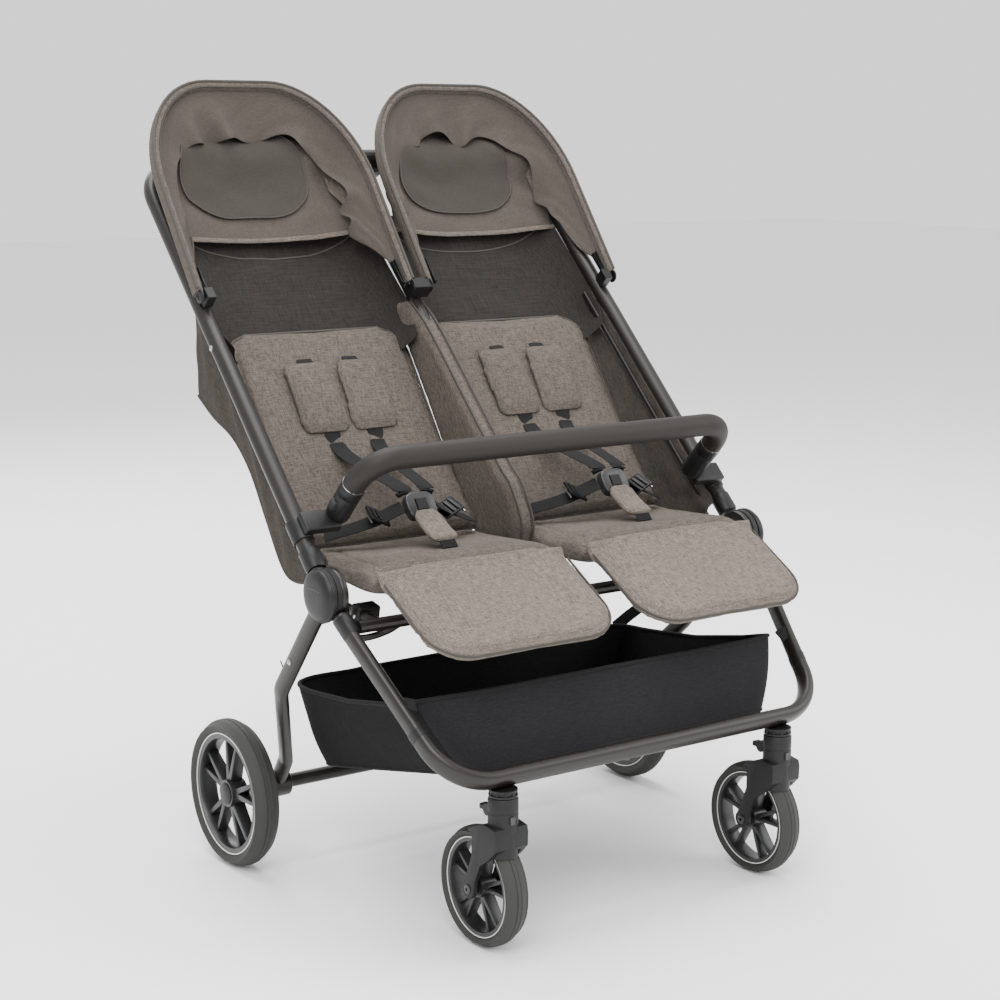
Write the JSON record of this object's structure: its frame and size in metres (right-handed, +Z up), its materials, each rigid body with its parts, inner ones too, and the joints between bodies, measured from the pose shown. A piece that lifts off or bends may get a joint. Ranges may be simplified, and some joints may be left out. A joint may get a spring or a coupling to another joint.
{
  "type": "double stroller",
  "caption": "Folding side-by-side double stroller with swivelling front wheels, two reclining seats, hoods, bumper bar and basket.",
  "frame": {"origin": "on the floor, under the middle of the object's width and length", "axes": "+Z up, -Y the way it drives, +X across, to the right when it is seen from the front"},
  "size_m": [0.744, 0.8168, 1.0817],
  "materials": {
    "frame_black": "satin",
    "plastic_black": "matte",
    "bar_leather": "matte",
    "tyre_rubber": "matte",
    "rim_plastic": "satin",
    "seat_fabric": "woven",
    "hood_fabric": "woven",
    "basket_fabric": "woven",
    "buckle_plastic": "satin"
  },
  "bodies": {
    "front_frame": {"front_leg_tube": "frame_black", "hinge_hub_left": "plastic_black", "hinge_hub_right": "plastic_black", "caster_socket_left": "plastic_black", "caster_socket_right": "plastic_black", "seat_front_rail": "frame_black", "seat_frame_tube": "frame_black", "seat_cushion_left": "seat_fabric", "seat_cushion_right": "seat_fabric", "basket": "basket_fabric", "harness_buckle_left": "buckle_plastic", "harness_buckle_right": "buckle_plastic"},
    "upper_frame": {"handle_tube": "frame_black", "handle_grip_left": "bar_leather", "handle_grip_right": "bar_leather", "fold_housing": "plastic_black", "hinge_cover_left": "plastic_black", "hinge_cover_right": "plastic_black", "center_spine": "frame_black", "bumper_mount_left": "plastic_black", "bumper_mount_right": "plastic_black", "hood_mount_left": "plastic_black", "hood_mount_right": "plastic_black", "hood_mount_center": "plastic_black", "seat_side_left": "hood_fabric", "seat_side_right": "hood_fabric", "upper_back": "hood_fabric", "hood_left": "hood_fabric", "hood_right": "hood_fabric"},
    "rear_legs": {"rear_leg_left": "frame_black", "rear_leg_right": "frame_black", "rear_crossbar": "frame_black"},
    "brake_pedal": {"brake_pedal": "plastic_black"},
    "fold_trigger": {"fold_trigger": "plastic_black"},
    "fold_lock_slider": {"fold_lock_slider": "buckle_plastic"},
    "bumper_bar": {"bumper_bar": "bar_leather"},
    "leg_rest_left": {"leg_rest_left": "seat_fabric"},
    "backrest_left": {"backrest_left": "seat_fabric"},
    "hood_left": {"hood_bow_left": "plastic_black"},
    "buckle_button_left": {"buckle_button_left": "plastic_black"},
    "bumper_button_left": {"bumper_button_left": "buckle_plastic"},
    "rear_wheel_left": {"rear_tyre_left": "tyre_rubber", "rear_rim_left": "rim_plastic"},
    "caster_left": {"caster_fork_left": "plastic_black"},
    "front_wheel_left": {"front_tyre_left": "tyre_rubber", "front_rim_left": "rim_plastic"},
    "caster_release_left": {"caster_release_left": "buckle_plastic"},
    "swivel_lock_left": {"swivel_lock_left": "plastic_black"},
    "leg_rest_right": {"leg_rest_right": "seat_fabric"},
    "backrest_right": {"backrest_right": "seat_fabric"},
    "hood_right": {"hood_bow_right": "plastic_black"},
    "buckle_button_right": {"buckle_button_right": "plastic_black"},
    "bumper_button_right": {"bumper_button_right": "buckle_plastic"},
    "rear_wheel_right": {"rear_tyre_right": "tyre_rubber", "rear_rim_right": "rim_plastic"},
    "caster_right": {"caster_fork_right": "plastic_black"},
    "front_wheel_right": {"front_tyre_right": "tyre_rubber", "front_rim_right": "rim_plastic"},
    "caster_release_right": {"caster_release_right": "buckle_plastic"},
    "swivel_lock_right": {"swivel_lock_right": "plastic_black"}
  },
  "joints": [
    {"name": "frame_fold", "type": "hinge", "parent": "front_frame", "child": "upper_frame", "pos_m": [0, -0.15443, 0.438], "axis": [1, 0, 0], "range_deg": [0, 140], "deforming": ["seat_cushion_left", "seat_cushion_right", "basket", "backrest_left", "backrest_right", "leg_rest_left", "leg_rest_right", "seat_side_left", "seat_side_right", "hood_left", "hood_right", "upper_back"]},
    {"name": "rear_leg_fold", "type": "hinge", "parent": "front_frame", "child": "rear_legs", "pos_m": [0, -0.15443, 0.438], "axis": [1, 0, 0], "range_deg": [-46, 0]},
    {"name": "brake", "type": "hinge", "parent": "rear_legs", "child": "brake_pedal", "pos_m": [0, 0.10857, 0.104], "axis": [1, 0, 0], "range_deg": [-22, 0]},
    {"name": "fold_trigger_squeeze", "type": "slide", "parent": "upper_frame", "child": "fold_trigger", "axis": [0, 0, 1], "range_m": [0, 0.003], "stiffness_N_per_m": 400},
    {"name": "fold_lock_slide", "type": "slide", "parent": "upper_frame", "child": "fold_lock_slider", "axis": [1, 0, 0], "range_m": [0, 0.014], "stiffness_N_per_m": 60},
    {"name": "bumper_pull_off", "type": "slide", "parent": "upper_frame", "child": "bumper_bar", "axis": [0, -0.6947, 0.7193], "range_m": [0, 0.06]},
    {"name": "leg_rest_angle_left", "type": "hinge", "parent": "front_frame", "child": "leg_rest_left", "pos_m": [-0.166, -0.21343, 0.461], "axis": [1, 0, 0], "range_deg": [-30, 45]},
    {"name": "recline_left", "type": "hinge", "parent": "upper_frame", "child": "backrest_left", "pos_m": [-0.166, -0.00143, 0.448], "axis": [1, 0, 0], "range_deg": [-25, 0]},
    {"name": "hood_open_left", "type": "hinge", "parent": "upper_frame", "child": "hood_left", "pos_m": [-0.187, 0.16357, 0.795], "axis": [1, 0, 0], "range_deg": [0, 80], "deforming": ["hood_left"]},
    {"name": "buckle_press_left", "type": "slide", "parent": "front_frame", "child": "buckle_button_left", "axis": [0, 0.8192, -0.5736], "range_m": [0, 0.001], "stiffness_N_per_m": 500},
    {"name": "bumper_release_left", "type": "slide", "parent": "upper_frame", "child": "bumper_button_left", "axis": [1, 0, 0], "range_m": [0, 0.002], "stiffness_N_per_m": 500},
    {"name": "rear_wheel_spin_left", "type": "hinge", "parent": "rear_legs", "child": "rear_wheel_left", "pos_m": [-0.3515, 0.10857, 0.104], "axis": [1, 0, 0], "continuous": true},
    {"name": "caster_swivel_left", "type": "hinge", "parent": "front_frame", "child": "caster_left", "pos_m": [-0.231, -0.37143, 0.21], "axis": [0, 0, 1], "continuous": true},
    {"name": "front_wheel_spin_left", "type": "hinge", "parent": "caster_left", "child": "front_wheel_left", "pos_m": [-0.231, -0.33043, 0.078], "axis": [1, 0, 0], "continuous": true},
    {"name": "caster_release_press_left", "type": "slide", "parent": "caster_left", "child": "caster_release_left", "axis": [0, 1, 0], "range_m": [0, 0.002], "stiffness_N_per_m": 300},
    {"name": "swivel_lock_tilt_left", "type": "hinge", "parent": "caster_left", "child": "swivel_lock_left", "pos_m": [-0.231, -0.34343, 0.183], "axis": [1, 0, 0], "range_deg": [-16, 16]},
    {"name": "leg_rest_angle_right", "type": "hinge", "parent": "front_frame", "child": "leg_rest_right", "pos_m": [0.166, -0.21343, 0.461], "axis": [1, 0, 0], "range_deg": [-30, 45]},
    {"name": "recline_right", "type": "hinge", "parent": "upper_frame", "child": "backrest_right", "pos_m": [0.166, -0.00143, 0.448], "axis": [1, 0, 0], "range_deg": [-25, 0]},
    {"name": "hood_open_right", "type": "hinge", "parent": "upper_frame", "child": "hood_right", "pos_m": [0.187, 0.16357, 0.795], "axis": [1, 0, 0], "range_deg": [0, 80], "deforming": ["hood_right"]},
    {"name": "buckle_press_right", "type": "slide", "parent": "front_frame", "child": "buckle_button_right", "axis": [0, 0.8192, -0.5736], "range_m": [0, 0.001], "stiffness_N_per_m": 500},
    {"name": "bumper_release_right", "type": "slide", "parent": "upper_frame", "child": "bumper_button_right", "axis": [-1, 0, 0], "range_m": [0, 0.002], "stiffness_N_per_m": 500},
    {"name": "rear_wheel_spin_right", "type": "hinge", "parent": "rear_legs", "child": "rear_wheel_right", "pos_m": [0.3515, 0.10857, 0.104], "axis": [1, 0, 0], "continuous": true},
    {"name": "caster_swivel_right", "type": "hinge", "parent": "front_frame", "child": "caster_right", "pos_m": [0.231, -0.37143, 0.21], "axis": [0, 0, 1], "continuous": true},
    {"name": "front_wheel_spin_right", "type": "hinge", "parent": "caster_right", "child": "front_wheel_right", "pos_m": [0.231, -0.33043, 0.078], "axis": [1, 0, 0], "continuous": true},
    {"name": "caster_release_press_right", "type": "slide", "parent": "caster_right", "child": "caster_release_right", "axis": [0, 1, 0], "range_m": [0, 0.002], "stiffness_N_per_m": 300},
    {"name": "swivel_lock_tilt_right", "type": "hinge", "parent": "caster_right", "child": "swivel_lock_right", "pos_m": [0.231, -0.34343, 0.183], "axis": [1, 0, 0], "range_deg": [-16, 16]}
  ],
  "couplings": [
    {"joint": "rear_leg_fold", "follows": "frame_fold", "ratio": -0.32857}
  ]
}
